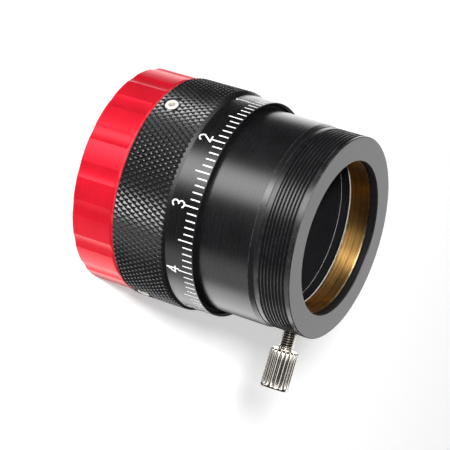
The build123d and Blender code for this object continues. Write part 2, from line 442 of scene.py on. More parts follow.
def repeat_tree():
    """Repeats the piece evenly round Z."""
    inputs = (("Count", "Int"), ("Phase", "Float"), ("Weld", "Float"), ("Material", "Material"))
    tree, given, result = new_tree("Repeat round axis", inputs)
    value = given.outputs
    points = wire(tree, "GeometryNodePoints", value["Count"])
    index = wire(tree, "GeometryNodeInputIndex").outputs[0]
    step = reckon(tree, "DIVIDE", math.tau, value["Count"])
    turn = reckon(tree, "MULTIPLY_ADD", index, step, value["Phase"])
    spin = wire(tree, "ShaderNodeCombineXYZ", 0.0, 0.0, turn)
    copies = wire(tree, "GeometryNodeInstanceOnPoints", named={
        "Points": points.outputs[0], "Instance": value["Geometry"], "Rotation": spin.outputs[0],
    })
    real = wire(tree, "GeometryNodeRealizeInstances", copies.outputs[0])
    return close_tree(tree, real.outputs[0], value["Weld"], value["Material"], result)


def thread_tree():
    """Helical thread between two heights, laid as one strip that winds round Z."""
    inputs = (
        ("Crest radius", "Float"), ("Root radius", "Float"), ("Back radius", "Float"),
        ("Front radius", "Float"), ("Pitch", "Float"), ("Back", "Float"), ("Front", "Float"),
        ("Groove front", "Float"), ("Turns", "Int"), ("Segments", "Int"), ("Material", "Material"),
    )
    rows, crest_rows, flank_rows = 16, 2, 5
    tree, given, result = new_tree("Helical thread", inputs)
    maths = partial(reckon, tree)
    value = {label: given.outputs[label] for label, _ in inputs}
    pitch = value["Pitch"]
    long_side = maths("ADD", maths("MULTIPLY", value["Turns"], value["Segments"]), 1.0)
    sheet = wire(tree, "GeometryNodeMeshGrid", 1.0, 1.0, long_side, rows + 1)
    place = wire(tree, "ShaderNodeSeparateXYZ", wire(tree, "GeometryNodeInputPosition").outputs[0])
    along = maths("ADD", place.outputs[0], 0.5)
    turn = maths("MULTIPLY", along, value["Turns"])
    across = maths("ADD", place.outputs[1], 0.5)
    behind = maths("SUBTRACT", value["Back"], pitch)
    height = maths("MULTIPLY_ADD", maths("ADD", turn, across), pitch, behind)
    half_way = (rows + crest_rows) / 2 / rows
    middle = maths("MULTIPLY_ADD", maths("ADD", turn, half_way), pitch, behind)
    flank = flank_rows / rows
    rising = maths("DIVIDE", maths("SUBTRACT", across, crest_rows / rows), flank)
    falling = maths("DIVIDE", maths("SUBTRACT", 1.0, across), flank)
    groove = maths("MINIMUM", rising, falling, clamp=True)
    left = maths("SUBTRACT", value["Groove front"], middle)
    fade = maths("DIVIDE", left, maths("MULTIPLY", pitch, 0.07), clamp=True)
    cut = maths("MULTIPLY", groove, fade)
    drop = maths("SUBTRACT", value["Root radius"], value["Crest radius"])
    radius = maths("MULTIPLY_ADD", cut, drop, value["Crest radius"])
    slack = maths("MULTIPLY", pitch, 0.01)
    low = maths("LESS_THAN", height, maths("ADD", value["Back"], slack))
    high = maths("GREATER_THAN", height, maths("SUBTRACT", value["Front"], slack))
    for flag, end in ((low, "Back radius"), (high, "Front radius")):
        radius = maths("MULTIPLY_ADD", flag, maths("SUBTRACT", value[end], radius), radius)
    height = maths("MINIMUM", maths("MAXIMUM", height, value["Back"]), value["Front"])
    theta = maths("MULTIPLY", turn, math.tau)
    x, y = (maths("MULTIPLY", radius, maths(wave, theta)) for wave in ("COSINE", "SINE"))
    worn_and_highlight = maths("SUBTRACT", 1.0, maths("MULTIPLY", cut, 4.0), clamp=True)
    held = wire(tree, "GeometryNodeStoreNamedAttribute", named={
        "Geometry": sheet.outputs[0], "Name": "wear", "Value": maths("MULTIPLY", worn_and_highlight, 0.6),
    })
    there = wire(tree, "ShaderNodeCombineXYZ", x, y, height).outputs[0]
    bent = wire(tree, "GeometryNodeSetPosition", named={"Geometry": held.outputs[0], "Position": there})
    return close_tree(tree, bent.outputs[0], THREAD_WELD, value["Material"], result)


def grown(tree, shape=None, **inputs):
    """Shape that a geometry tree makes from a shape and its inputs."""
    mesh = as_mesh(shape, weld=0) if shape else bpy.data.meshes.new("seed")
    seed = in_scene("seed", mesh)
    modifier = seed.modifiers.new("grow", "NODES")
    modifier.node_group = tree
    for item in tree.interface.items_tree:
        if item.in_out == "INPUT" and item.name in inputs:
            modifier[item.identifier] = inputs[item.name]
    made = as_shape(evaluated(seed))
    bpy.data.objects.remove(seed)
    if not len(made[0]):
        raise RuntimeError(f"{tree.name} made nothing")
    return made


def repeated(shape, copies, finish, phase=0.0, weld=0.0005):
    """Shape repeated evenly round Z."""
    tree = bpy.data.node_groups.get("Repeat round axis") or repeat_tree()
    return grown(tree, shape, Count=copies, Phase=phase, Weld=weld * MM, Material=FINISHES[finish])


def threaded(crest, root, pitch, back, front, finish, groove_front=None, back_radius=None,
             front_radius=None, segments=SEGMENTS):
    """Helical thread strip in millimetres."""
    tree = bpy.data.node_groups.get("Helical thread") or thread_tree()
    inputs = {
        "Crest radius": crest * MM, "Root radius": root * MM, "Pitch": pitch * MM,
        "Back radius": (crest if back_radius is None else back_radius) * MM,
        "Front radius": (crest if front_radius is None else front_radius) * MM,
        "Back": back * MM, "Front": front * MM,
        "Groove front": (front + pitch if groove_front is None else groove_front) * MM,
        "Turns": math.ceil((front - back) / pitch) + 2, "Segments": segments, "Material": FINISHES[finish],
    }
    return grown(tree, None, **inputs)


# ------------------------------------------------------------------ finishes
FINISHES = {}


class Finish:
    """One node material under construction, kept by its name in FINISHES."""

    def __init__(self, name):
        self.material = FINISHES[name] = bpy.data.materials.new(name)
        self.material.use_nodes = True
        self.tree = self.material.node_tree
        self.shader = self.tree.nodes["Principled BSDF"]
        self.add = partial(wire, self.tree)
        self.maths = partial(reckon, self.tree)

    def noise(self, vector, scale, detail=3.0):
        named = {"Scale": scale, "Detail": detail}
        return self.add("ShaderNodeTexNoise", vector, named=named).outputs["Fac"]

    def ranged(self, value, low, high, new_low, new_high):
        return self.add("ShaderNodeMapRange", value, low, high, new_low, new_high).outputs[0]

    def mixed(self, share, first, second):
        node = self.add("ShaderNodeMix", data_type="RGBA")
        for index, source in zip((0, 6, 7), (share, first, second)):
            plug(self.tree, (*source, 1) if isinstance(source, tuple) else source, node.inputs[index])
        return node.outputs[2]

    def turned_vector(self, centre, along_x=False):
        """(distance from the turning axis, place along it, 0) and the plain coordinates."""
        place = self.add("ShaderNodeTexCoord").outputs["Object"]
        shifted = self.add("ShaderNodeMapping", place, named={"Location": centre})
        parts = self.add("ShaderNodeSeparateXYZ", shifted.outputs[0])
        x, y, z = parts.outputs
        flat = self.add("ShaderNodeCombineXYZ", *((0.0, y, z) if along_x else (x, y, 0.0)))
        off = self.add("ShaderNodeVectorMath", flat.outputs[0], operation="LENGTH").outputs["Value"]
        return self.add("ShaderNodeCombineXYZ", off, x if along_x else z, 0.0).outputs[0], place

    def give(self, inputs):
        for name, source in inputs.items():
            plug(self.tree, source, self.shader.inputs[name])

    def end(self, base, roughness, height, strength, distance=0.00001):
        named = {"Strength": strength, "Distance": distance, "Height": height}
        bump = self.add("ShaderNodeBump", named=named).outputs[0]
        self.give({"Base Color": base, "Roughness": roughness, "Normal": bump})


def machined(name, base, worn_and_highlight, metallic, roughness, lines=5000.0, grain=9000.0, line_share=0.6,
             strength=0.25, spread=0.12, tint=0.25, ior=1.5, brushed=0.0, scuff=0.25,
             centre=(0, 0, 0), along_x=False):
    """Turned metal: tool marks that run round the axis, a fine grain, cloudy tint and worn edges; the worn
    colour is also a painted highlight on nickel crests and brass edges, wear below zero a matt painted
    shade and wear above one a grey painted highlight line.
    """
    finish = Finish(name)
    around, place = finish.turned_vector(centre, along_x)
    marks = finish.noise(around, lines, 2.0)
    grit = finish.noise(place, grain, 2.0)
    cloud = finish.noise(place, 160.0, 3.0)
    height = finish.maths("MULTIPLY_ADD", marks, line_share, finish.maths("MULTIPLY", grit, 1 - line_share))
    dark = tuple(part * (1 - tint) for part in base)
    light = tuple(min(1.0, part * (1 + tint)) for part in base)
    ground = finish.mixed(finish.ranged(finish.maths("ADD", cloud, marks), 0.8, 1.2, 0.0, 1.0), dark, light)
    wear = finish.add("ShaderNodeAttribute", attribute_name="wear").outputs["Fac"]
    # Wear below zero is painted shade: the surface turns rougher and nearly without reflections.
    matt_shade = finish.ranged(wear, -1.0, 0.0, 1.0, 0.0)
    edge = finish.maths("MAXIMUM", wear, 0.0)
    scuffed = finish.ranged(finish.noise(place, 900.0, 4.0), 0.42, 0.62, scuff, 1.0)
    # Worn colour on rubbed edges and knurl tops, and a painted highlight on nickel crests and brass edges.
    ground = finish.mixed(finish.maths("MULTIPLY", edge, scuffed, clamp=True), ground, worn_and_highlight)
    # Wear above one paints the grey highlight lines inside the bore.
    ground = finish.mixed(finish.ranged(wear, 1.0, 1.5, 0.0, 1.0), ground, BORE_LINE_HIGHLIGHT)
    uneven = finish.maths("MULTIPLY_ADD", marks, 0.6, finish.maths("MULTIPLY", cloud, 0.4))
    rough = finish.ranged(uneven, 0.3, 0.7, roughness - spread / 2, roughness + spread / 2)
    rough = finish.maths("MULTIPLY_ADD", matt_shade, 0.45, rough)
    shine = finish.ranged(matt_shade, 0.0, 1.0, 0.5, 0.04)
    finish.give({"Specular IOR Level": shine, "Metallic": metallic, "IOR": ior})
    if brushed:
        way = finish.add("ShaderNodeTangent", direction_type="RADIAL", axis="X" if along_x else "Z")
        finish.give({"Tangent": way.outputs[0], "Anisotropic": brushed, "Anisotropic Rotation": 0.25})
    finish.end(ground, rough, height, strength)


def speckled(name, base, roughness, grain, strength, tint):
    """Plain moulded or painted surface with a fine uneven grain."""
    finish = Finish(name)
    place = finish.add("ShaderNodeTexCoord").outputs["Object"]
    grit = finish.noise(place, grain, 4.0)
    cloud = finish.noise(place, 400.0, 3.0)
    dark = tuple(part * (1 - tint) for part in base)
    ground = finish.mixed(finish.ranged(cloud, 0.35, 0.65, 0.0, 1.0), dark, base)
    rough = finish.ranged(grit, 0.3, 0.7, roughness - 0.08, roughness + 0.08)
    finish.end(ground, rough, grit, strength)


def make_finishes(hue):
    """All materials, named after the record's slots, with a few variants."""
    screw = (0, 0, -screw_height() * MM)
    black, red, metal, brass, nickel, steel, polymer, paint = (
        tuple(getattr(hue, name)) for name in FinishSettings.__annotations__
    )
    machined(
        "black_anodised", black, (0.03, 0.03, 0.032), 0.0, 0.27, ior=1.75, line_share=0.05,
        strength=0.06, spread=0.04,
    )
    machined("black_knurl", black, (0.04, 0.04, 0.042), 0.0, 0.27, ior=1.9, line_share=0.1)
    machined(
        "red_anodised", red, (0.9, 0.12, 0.14), 0.45, 0.3, tint=0.08, ior=1.4, line_share=0.1,
        strength=0.08, spread=0.05,
    )
    machined("bare_aluminium", metal, metal, 1.0, 0.3, tint=0.1)
    # Brass: its light worn colour paints highlight lines along the ring's edges.
    machined(
        "bright_brass", brass, (1.0, 0.8, 0.42), 1.0, 0.42, lines=2600.0, line_share=0.9,
        strength=0.5, spread=0.25, tint=0.3, brushed=0.9,
    )
    # Nickel: the dark colour is painted shade in the hollows, and the light worn colour is a painted
    # highlight on crests and ridge tops.
    machined(
        "nickel_plate", nickel, (0.95, 0.9, 0.82), 1.0, 0.2, tint=0.08, centre=screw, scuff=0.9,
        along_x=True,
    )
    machined("spring_steel", steel, (0.86, 0.84, 0.8), 0.45, 0.4, tint=0.1)
    # Set screws: dark steel whose light worn colour makes the bare rim and a painted highlight on the
    # socket floor.
    machined("set_screw", (0.06, 0.055, 0.05), (0.92, 0.88, 0.8), 0.35, 0.4, tint=0.1, scuff=0.9)
    speckled("slip_polymer", polymer, 0.45, 2500.0, 0.2, 0.08)
    speckled("engraving_white", paint, 0.5, 6000.0, 0.3, 0.12)


def screw_height():
    """Height of the thumbscrew's axis in millimetres."""
    low, high = extent("thumbscrew_head")
    return (low.z + high.z) / 2


# ------------------------------------------------------------------ operators
class FOCUSER_OT_finishes(bpy.types.Operator):
    """Makes the materials and gives them to the CAD pieces that stay as they are."""

    bl_idname = "focuser.finishes"
    bl_label = "Finishes"

    def execute(self, context):
        make_finishes(context.scene.focuser_finish)
        kept = {
            "guide_sleeve": "bare_aluminium",
            "slot_stop_ring": "spring_steel",
            "rear_slip_washer": "slip_polymer",
            "wave_washer": "spring_steel",
            "front_slip_washer": "slip_polymer",
            "helicoid_ring": "bare_aluminium",
            "guide_pins": "spring_steel",
            "thumbscrew_point": "nickel_plate",
        }
        for node, finish in kept.items():
            mesh = frame["nodes"][node].data
            mesh.materials.clear()
            mesh.materials.append(FINISHES[finish])
        return {"FINISHED"}


class FOCUSER_OT_base(bpy.types.Operator):
    """Black mount base with its female accessory thread."""

    bl_idname = "focuser.base"
    bl_label = "Mount base"

    def execute(self, context):
        cut = context.scene.focuser_thread
        high = extent("mount_base")[1]
        guide = extent("guide_sleeve")[1].x
        minor = MOUNTS["telescope_thread"]["r_mm"]
        depth, pitch = cut.depth / MM, cut.pitch / MM
        relief = minor + depth + 0.01
        back, front = 0.35, MOUNTS["telescope_thread"]["length_mm"]
        web = extent("guide_sleeve")[0].z
        wall = turned(
            (
                (minor, front), (relief, front, 0), (relief, web, 0), (guide, web), (guide, high.z),
                (high.x, high.z), (high.x, 0), (relief, 0, 0.05), (minor, back),
            ),
            closed=False,
        )
        thread = threaded(minor, minor + depth, pitch, back, front, "black_anodised")
        mesh = as_mesh(joined(wall, thread))
        piece("mount_base_visual", mesh, "base", "black_anodised", ["mount_base"])
        return {"FINISHED"}


class FOCUSER_OT_grip_ring(bpy.types.Operator):
    """Red grip ring with shallow flutes that run out below its rounded front edge."""

    bl_idname = "focuser.grip_ring"
    bl_label = "Grip ring"

    def execute(self, context):
        grip = context.scene.focuser_grip
        high = extent("grip_ring")[1]
        inner = extent("mount_base")[1].x
        outer, top = high.x, high.z
        lip = extent("front_slip_washer")[1]
        depth, half = grip.flute_depth / MM, grip.flute_width / MM / 2
        sagitta = depth - (outer - math.sqrt(outer**2 - half**2))
        cutter = (half**2 + sagitta**2) / (2 * sagitta)
        hub = outer - depth + cutter
        end, soft, mouth = top - 0.35, 0.35, 21.0
        shoulder = [(outer, top - 0.75), (outer, top - 0.32), (outer - 0.46, top)]
        rows = [(outer - 0.25, 0.0), (outer - 0.07, 0.07), (outer, 0.25)]
        rows += [(outer, z) for z in np.linspace(1.2, top - 0.75, 7)]
        for step in range(1, 13):
            t = step / 12
            curve = [(1 - t) ** 2, 2 * t * (1 - t), t**2]
            rows.append(tuple(sum(w * p[axis] for w, p in zip(curve, shoulder)) for axis in (0, 1)))
        rows += [(mouth + 0.12, top), (mouth, top - 0.1), (mouth, lip.z), (inner, lip.z)]
        rows += [(inner, 0.15), (inner + 0.15, 0)]
        outline, outside = np.array(rows), outer - 0.6
        wear = np.array([0.5 if 0.02 < top - z < 0.3 or z < 0.1 else 0 for _, z in rows])
        wear[outline[:, 0] < outside] = 0

        def fluted(theta):
            shape = outline.copy()
            near = hub * math.cos(theta)
            for row, (radius, z) in enumerate(outline):
                if radius < outside or z > end:
                    continue
                reach = cutter
                if z > end - soft:
                    reach += math.sqrt(max(0.0, soft**2 - (z - end + soft) ** 2)) - soft
                inside = reach**2 - (hub * math.sin(theta)) ** 2
                if inside > 0:
                    shape[row, 0] = min(radius, near - math.sqrt(inside))
            return shape

        sector = math.tau / grip.flutes
        edge = math.asin(half / outer)
        angles = np.concatenate([
            np.linspace(-sector / 2, -edge, 6)[:-1],
            np.linspace(-edge, edge, 15),
            np.linspace(edge, sector / 2, 6)[1:],
        ])
        wedge = swept(fluted, wear, angles, full=False)
        ring = repeated(wedge, grip.flutes, "red_anodised", grip.flute_phase)
        mesh = as_mesh(ring)
        piece("grip_ring_visual", mesh, "base", "red_anodised", ["grip_ring"], crease=19)
        return {"FINISHED"}


def knurl_column(radius, pitch, rise, depth, flat, low, high, slope):
    """Two half-stepped columns of diamonds, cut by the end chamfers, as flat (arc, height, z)."""
    work = bmesh.new()
    levels = ((-0.08, 0.995), (0.0, 0.995), (depth * 0.88, flat + 0.1), (depth, flat))
    rows = math.ceil((high - low) / rise) + 1
    for column in (0, 1):
        for row in range(-1, rows + 1):
            middle = low + (row + column / 2) * rise
            rings = []
            for height, share in levels:
                ring = []
                for side_x, side_z in ((1, 0), (0, 1), (-1, 0), (0, -1)):
                    x = column * pitch / 2 + side_x * share * pitch / 2
                    ring.append(work.verts.new((x, height, middle + side_z * share * rise / 2)))
                rings.append(ring)
            work.faces.new(rings[0])
            work.faces.new(rings[-1])
            for under, over in zip(rings, rings[1:]):
                for side in range(4):
                    work.faces.new((under[side], under[side - 1], over[side - 1], over[side]))
    planes = (
        ((0, 0, low), (0, 0, -1)), ((0, depth, low + 0.25), (0, 1, -1)),
        ((0, depth, high), (0, 1, slope)), ((0, 0, high + depth * 0.98), (0, 0, 1)),
    )
    for spot, normal in planes:
        everything = work.verts[:] + work.edges[:] + work.faces[:]
        cut = bmesh.ops.bisect_plane(
            work, geom=everything, dist=1e-5, plane_co=spot, plane_no=normal, clear_outer=True
        )
        edges = [item for item in cut["geom_cut"] if isinstance(item, bmesh.types.BMEdge)]
        rims = [edge for edge in edges if edge.is_boundary]
        bmesh.ops.holes_fill(work, edges=rims, sides=0)
    bmesh.ops.recalc_face_normals(work, faces=work.faces)
    work.verts.index_update()
    flat_points = np.array([vertex.co for vertex in work.verts])
    faces = [[vertex.index for vertex in face.verts] for face in work.faces]
    work.free()
    x, rise, z = flat_points.T
    points = round_z(radius - depth + rise, x / radius, z)
    wear = np.where(rise > depth * 0.95, 1.0, 0.0)
    return points, faces, wear


def islands(total, faces):
    """Number of the connected shell that each point is in."""
    owner = list(range(total))

    def root(item):
        while owner[item] != item:
            owner[item] = owner[owner[item]]
            item = owner[item]
        return item

    for face in faces:
        first = root(face[0])
        for other in face[1:]:
            owner[root(other)] = first
    return np.array([root(item) for item in range(total)])


def clear_round(shape, seats, height, clearance):
    """Opens a round clearance in the knurl at each set screw."""
    points, faces, wear = shape
    reach, theta = polar(points)
    z = points[:, 2].copy()
    shell = islands(len(points), faces)
    drop = np.zeros(len(points), bool)
    for seat in seats:
        arc = ((theta - seat + math.pi) % math.tau - math.pi) * reach
        rise = z - height
        away = np.hypot(arc, rise)
        near = away < 3 * clearance
        for number in np.unique(shell[near]):
            mine = shell == number
            if math.hypot(arc[mine].mean(), rise[mine].mean()) < clearance * 0.93:
                drop |= mine
        pushed = (away < clearance) & (away > 1e-6) & ~drop
        grow = clearance / away[pushed]
        theta[pushed] = seat + arc[pushed] * grow / reach[pushed]
        z[pushed] = height + rise[pushed] * grow
    return round_z(reach, theta, z), [face for face in faces if not drop[face[0]]], wear


class FOCUSER_OT_focus_sleeve(bpy.types.Operator):
    """Focus sleeve: diamond knurl, 45 degree shoulder, smooth scale band and bright mouth edge."""

    bl_idname = "focuser.focus_sleeve"
    bl_label = "Focus sleeve"

    def execute(self, context):
        grip = context.scene.focuser_grip
        low, high = extent("focus_sleeve")
        ring = extent("helicoid_ring")[1]
        tube = extent("drawtube")[1].x
        outer, depth = high.x, grip.knurl_depth / MM
        root, bore, mouth = outer - depth, 20.9, 22.05
        ledge = high.z - 1.15
        knurl_front = high.z - 6.95
        rise, fall = 0.67, 0.68
        slope = fall / rise
        body = turned((
            (bore, low.z), (root, low.z, 0), (root, knurl_front + depth / slope, 0),
            (outer - fall, knurl_front + rise, 0.06), (outer - 0.74, high.z, 0.06),
            (mouth + 0.5, high.z, 0.03), (mouth, high.z - 0.5), (mouth, ledge), (tube + 0.05, ledge),
            (tube + 0.05, ring.z), (bore, ring.z),
        ))
        seats, height, drills = screw_seats()
        mesh = bored(as_mesh(body), drills)
        # Painted shade: the mouth and inner bore turn matt and dark.
        shade_matted(mesh, mouth + 0.05)
        piece("focus_sleeve_visual", mesh, "focus_ring", "black_anodised", ["focus_sleeve"])
        pitch = math.tau * outer / grip.knurl_count
        column = knurl_column(
            outer, pitch, pitch / math.tan(grip.knurl_angle), depth, grip.knurl_flat, low.z + 0.02,
            knurl_front, slope,
        )
        knurl = repeated(column, grip.knurl_count, "black_knurl", weld=0.0)
        diamonds = as_mesh(clear_round(knurl, seats, height, SCREW_HOLE + 0.08), weld=0)
        piece("diamond_knurl", diamonds, "focus_ring", "black_anodised", crease=12, finish="black_knurl")
        return {"FINISHED"}


def drill(deep):
    """Cylinder along +Z that cuts the hole of an M3 screw."""
    corners = ((0, 0), (SCREW_HOLE, 0), (SCREW_HOLE, deep), (0, deep))
    return turned(corners, ease=0, segments=48)


def screw_seats():
    """Angles and height of the set screws, and the drills that make their holes."""
    points = coordinates(frame["nodes"]["sleeve_grub_screws"].data)
    theta = np.degrees(polar(points)[1])
    height = (points[:, 2].min() + points[:, 2].max()) / 2
    first = float(np.mean(theta[np.abs(theta - FIRST_SCREW) < 30]))
    seats = [math.radians(first + 120 * step) for step in range(3)]
    points, faces, wear = on_screw_axis(drill(4), 20.5, height)
    drills = []
    for seat in seats:
        drills.append((points @ np.array(Matrix.Rotation(seat, 3, "Z")).T, faces, wear))
    return seats, height, drills


class FOCUSER_OT_set_screws(bpy.types.Operator):
    """Three hex-socket set screws."""

    bl_idname = "focuser.set_screws"
    bl_label = "Set screws"

    def execute(self, context):
        seats, height, _ = screw_seats()
        points = coordinates(frame["nodes"]["sleeve_grub_screws"].data)
        top = float(polar(points)[0].max())
        floor, flat, rim = 1.05, 0.75, 2.25
        outline = np.array([
            (0, floor), (1, floor), (1, 2.2), (1.18, rim), (1.26, 2.22), (1.5, 1.98), (1.5, 0), (0, 0),
        ])
        # Wear paints light here: a highlight in the middle of the socket floor and shade where the floor
        # meets the walls, rising to the light bare-metal rim.
        wear = np.array([0.8, 0.3, 1, 1, 1, 0, 0, 0])

        def socket(theta):
            shape = outline.copy()
            side = (theta + math.pi / 6) % (math.pi / 3) - math.pi / 6
            shape[1:3, 0] = flat / math.cos(side)
            return shape

        angles = np.arange(48) * math.tau / 48 + math.pi / 6
        one = on_screw_axis(swept(socket, wear, angles), top - rim, height)
        mesh = as_mesh(repeated(one, len(seats), "set_screw", seats[0]))
        piece(
            "set_screws_visual", mesh, "focus_ring", "spring_steel", ["sleeve_grub_screws"],
            finish="set_screw",
        )
        return {"FINISHED"}


# ------------------------------------------------------------------ engraving
def arc(cx, cy, rx, ry, start, stop, steps=14):
    """Points along part of an ellipse in a numeral's unit box, angles in degrees."""
    turns = np.radians(np.linspace(start, stop, steps))
    return [(cx + rx * math.cos(t), cy + ry * math.sin(t)) for t in turns]


NUMERALS = (
    [arc(0.5, 0.5, 0.5, 0.5, 0, 360, 28)],
    [[(0.3, 0.86), (0.62, 1.0), (0.62, 0.0)]],
    [arc(0.5, 0.72, 0.48, 0.28, 165, -25) + [(0.04, 0.0)], [(0.04, 0.0), (1.0, 0.0)]],
    [arc(0.46, 0.75, 0.46, 0.25, 150, -90), arc(0.46, 0.25, 0.5, 0.25, 90, -150)],
    [[(0.74, 0.0), (0.74, 1.0)], [(0.74, 1.0), (-0.06, 0.3)], [(-0.06, 0.3), (1.12, 0.3)]],
    [
        [(0.92, 1.0), (0.14, 1.0)], [(0.14, 1.0), (0.08, 0.56)],
        arc(0.47, 0.32, 0.5, 0.32, 142, -145, 16),
    ],
    [arc(0.5, 0.3, 0.48, 0.3, 0, 360, 26), arc(1.02, 0.3, 1.0, 0.74, 180, 112, 10)],
    [[(0.0, 1.0), (1.0, 1.0)], [(1.0, 1.0), (0.36, 0.0)]],
    [arc(0.5, 0.76, 0.4, 0.24, 0, 360, 24), arc(0.5, 0.26, 0.5, 0.26, 0, 360, 26)],
    [arc(0.5, 0.7, 0.48, 0.3, 0, 360, 26), arc(-0.02, 0.7, 1.0, 0.74, 0, -68, 10)],
)


def ribbon(line, width, top):
    """Painted stroke with round ends: flat (x, y, height) points of a closed thin solid."""
    line = np.array(line, float)
    step = np.gradient(line, axis=0)
    step /= np.linalg.norm(step, axis=1)[:, None]
    side = np.stack([-step[:, 1], step[:, 0]], -1) * width / 2
    steps, caps = len(line), 5
    rim = []
    for edge, tip, heading in ((line + side, line[-1], step[-1]), ((line - side)[::-1], line[0], -step[0])):
        first = math.atan2(heading[1], heading[0]) + math.pi / 2
        turns = first - np.linspace(0, math.pi, caps + 2)[1:-1]
        rim += [edge, tip + np.stack([np.cos(turns), np.sin(turns)], -1) * width / 2]
    rim = np.concatenate(rim)
    total = len(rim)
    upper, lower = (np.column_stack([rim, np.full(total, height)]) for height in (top, -0.06))
    far = 2 * steps + caps - 1
    faces = []
    for level in (0, total):
        for index in range(steps - 1):
            a, b, c = level + index, level + index + 1, level + far - index
            faces.append([a, b, c - 1, c] if level else [a, c, c - 1, b])
        faces.append([level + steps - 1 + k for k in range(caps + 2)])
        faces.append([level + far + k for k in range(caps + 1)] + [level])
    faces += [[k, (k + 1) % total, total + (k + 1) % total, total + k] for k in range(total)]
    return np.vstack([upper, lower]), faces, np.zeros(2 * total)


def wrapped(shape, radius_at, angle_at, z_at):
    """Wraps a flat (x, y, height) shape on a turned surface; x runs to -theta and y to -z."""
    points, faces, wear = shape
    z = z_at - points[:, 1]
    radius = radius_at(z)
    return round_z(radius + points[:, 2], angle_at - points[:, 0] / radius, z), faces, wear


class FOCUSER_OT_scale(bpy.types.Operator):
    """White-filled graduations and numerals on the band, and the index line on the drawtube."""

    bl_idname = "focuser.scale"
    bl_label = "Focus scale"

    def execute(self, context):
        rule = context.scene.focuser_scale
        high = extent("focus_sleeve")[1]
        back_r, front_r = high.x - 0.68, high.x - 0.74
        back_z, front_z = high.z - 6.28, high.z

        def band(z):
            return back_r + (front_r - back_r) * (z - back_z) / (front_z - back_z)

        width, front = rule.mark_width / MM, rule.mark_front / MM
        marks = []
        for tenth in range(10):
            run = (rule.long_mark if tenth % 5 == 0 else rule.short_mark) / MM - width
            line = [(0, share * run) for share in np.linspace(0, 1, 4)]
            place = math.radians(3.6 * tenth)
            marks.append(wrapped(ribbon(line, width, INLAY), band, place, front - width / 2))
        ticks = repeated(joined(*marks), 10, "engraving_white", rule.zero_angle, weld=0.0)
        stroke = rule.stroke / MM
        tall = rule.numeral_height / MM - stroke
        wide = rule.numeral_width / MM - stroke
        base = rule.numeral_back / MM + tall + stroke / 2
        shapes, finest = [ticks], 0.15
        for digit, strokes in enumerate(NUMERALS):
            place = rule.zero_angle + math.radians(36 * digit)
            for level, line in enumerate(strokes):
                fine = []
                for (x0, y0), (x1, y1) in zip(line, line[1:]):
                    parts = max(1, round(math.hypot(x1 - x0, y1 - y0) / finest))
                    fine += [(x0 + (x1 - x0) * k / parts, y0 + (y1 - y0) * k / parts) for k in range(parts)]
                fine.append(line[-1])
                flat = [((x - 0.5) * wide, y * tall) for x, y in fine]
                shapes.append(wrapped(ribbon(flat, stroke, 0.013 + 0.002 * level), band, place, base))
        mesh = as_mesh(joined(*shapes), weld=0)
        piece("scale_paint", mesh, "focus_ring", "engraving_white")
        tube = extent("drawtube")[1].x
        line = [(0, share * 10.6) for share in np.linspace(0, 1, 6)]
        index = wrapped(ribbon(line, 0.3, INLAY), lambda z: tube + 0 * z, rule.index_angle, 39.4)
        piece("index_paint", as_mesh(index, weld=0), "drawtube", "engraving_white")
        return {"FINISHED"}


class FOCUSER_OT_drawtube(bpy.types.Operator):
    """Sliding drawtube with its front cone."""

    bl_idname = "focuser.drawtube"
    bl_label = "Drawtube"

    def execute(self, context):
        low, high = extent("drawtube")
        holder = extent("eyepiece_holder")
        guide = extent("guide_sleeve")[1].x + 0.05
        skirt, cone, cup, opening = 19.4, 20.95, 19.0, 16.2
        shoulder = low.z + 12.2
        web_back, web_front = low.z + 16.9, holder[0].z
        mesh = as_mesh(turned((
            (guide, low.z), (skirt, low.z), (skirt, shoulder), (high.x, shoulder, 0.25),
            (high.x, high.z - 1.1, 0.1), (cone, high.z, 0.06), (cup, high.z), (cup, web_front),
            (opening, web_front), (opening, web_back), (guide, web_back),
        )))
        # Painted shade: the inner bore turns matt and dark.
        shade_matted(mesh, 20)
        piece("drawtube_visual", mesh, "drawtube", "black_anodised", ["drawtube"])
        return {"FINISHED"}


class FOCUSER_OT_eyepiece_holder(bpy.types.Operator):
    """Eyepiece holder: bore, ring groove, neck and male accessory thread."""

    bl_idname = "focuser.eyepiece_holder"
    bl_label = "Eyepiece holder"

    def execute(self, context):
        cut = context.scene.focuser_thread
        low, high = extent("eyepiece_holder")
        bore = MOUNTS["eyepiece_bore"]["r_mm"]
        crest = high.x
        ring_low, ring_high = extent("compression_ring")
        back, front, step = high.z - 6.93, high.z - 0.12, high.z - 8
        groove, neck, boss = 16.6, 20.85, 19.0
        groove_back, groove_front = ring_low.z - 0.05, ring_high.z + 0.05
        upper, lower = 42.4, 40.7
        wall = turned(
            (
                (crest, front), (crest - 0.12, high.z, 0.04), (bore + 0.15, high.z, 0.03),
                (bore, high.z - 0.15, 0.03), (bore, groove_front, 0.03), (groove, groove_front),
                (groove, groove_back), (bore, groove_back, 0.04), (bore, ring_low.z - 0.2),
                (bore, upper, 0.03), (bore + 0.15, upper - 0.1), (bore + 0.15, upper - 0.25),
                (bore, upper - 0.3, 0.03), (bore, lower + 0.1), (bore, lower, 0.03),
                (bore + 0.2, lower - 0.1), (bore + 0.2, lower - 0.3), (bore, lower - 0.4, 0.03),
                (bore, low.z), (boss, low.z), (boss, step), (neck, step, 0.05), (neck, back),
            ),
            ease=0.1, closed=False,
        )
        thread = threaded(
            crest, crest - cut.depth / MM, cut.pitch / MM, back, front, "black_anodised",
            groove_front=front - 0.65, back_radius=neck,
        )
        hole = on_screw_axis(drill(7), 15, screw_height())
        mesh = bored(as_mesh(joined(wall, thread)), [hole])
        # Painted shade: the bore behind its front edge turns matt and dark.
        shade_matted(mesh, groove + 0.1, high.z - 0.2)
        # Painted highlight lines along two inner edges of the bore.
        for edge in (lower, groove_back):
            painted_highlight_line(mesh, bore + 0.06, edge)
        piece("eyepiece_holder_visual", mesh, "drawtube", "black_anodised", ["eyepiece_holder"])
        return {"FINISHED"}


